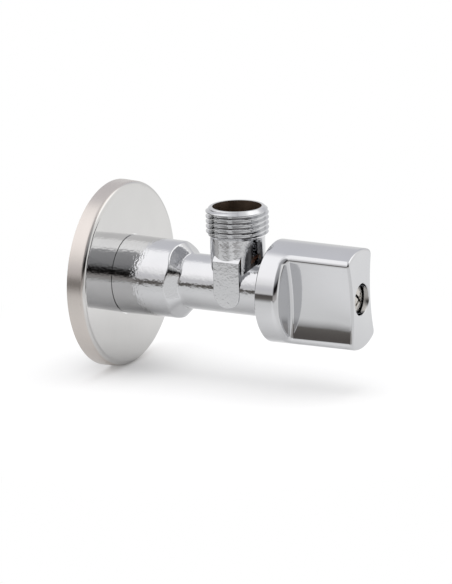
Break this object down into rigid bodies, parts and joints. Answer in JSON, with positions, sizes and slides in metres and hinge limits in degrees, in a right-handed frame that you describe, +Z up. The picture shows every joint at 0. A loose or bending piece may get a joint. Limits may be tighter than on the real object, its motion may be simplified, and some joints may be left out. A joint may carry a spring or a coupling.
{
  "type": "angle valve",
  "caption": "Chromed angle stop valve with a round wall plate, a male wall inlet, an upright threaded outlet and a waisted turning handle.",
  "frame": {"origin": "on the valve axis, in the wall plane, where the inlet thread goes into the wall", "axes": "+X along the valve axis from the wall to the handle, +Z up along the outlet axis"},
  "size_m": [0.0814, 0.0506, 0.0506],
  "materials": {
    "chromed_brass": "bright chrome with a slight orange peel",
    "chromed_casting": "mirror chrome",
    "stainless_sheet": "polished stainless sheet with a satin rim",
    "screw_steel": "nickel-plated steel",
    "plain_brass": "as turned",
    "fibre_gasket": "matt fibre",
    "black_rubber": "matt rubber",
    "white_plastic": "matt"
  },
  "bodies": {
    "valve_body": {"body": "chromed_brass", "bonnet": "plain_brass", "bonnet_gasket": "fibre_gasket"},
    "wall_plate": {"escutcheon": "stainless_sheet"},
    "turning_handle": {"handle": "chromed_casting", "handle_screw": "screw_steel", "handle_spring_washer": "screw_steel", "spindle": "plain_brass", "spindle_seal_ring_inner": "black_rubber", "spindle_seal_ring_outer": "black_rubber", "thrust_washer": "white_plastic", "spindle_clip": "screw_steel"},
    "sliding_plunger": {"plunger": "plain_brass", "seat_washer": "black_rubber", "seat_washer_plate": "plain_brass", "seat_washer_screw": "plain_brass"}
  },
  "joints": [
    {"name": "handle_turn", "type": "hinge", "parent": "valve_body", "child": "turning_handle", "pos_m": [0.0494, 0, 0], "axis": [1, 0, 0], "range_deg": [0, 840]},
    {"name": "plunger_slide", "type": "slide", "parent": "valve_body", "child": "sliding_plunger", "axis": [1, 0, 0], "range_m": [0, 0.0035]},
    {"name": "plate_slide", "type": "slide", "parent": "valve_body", "child": "wall_plate", "axis": [1, 0, 0], "range_m": [0, 0.024]}
  ],
  "couplings": [
    {"joint": "plunger_slide", "follows": "handle_turn", "m_per_rad": 0.0002387}
  ]
}
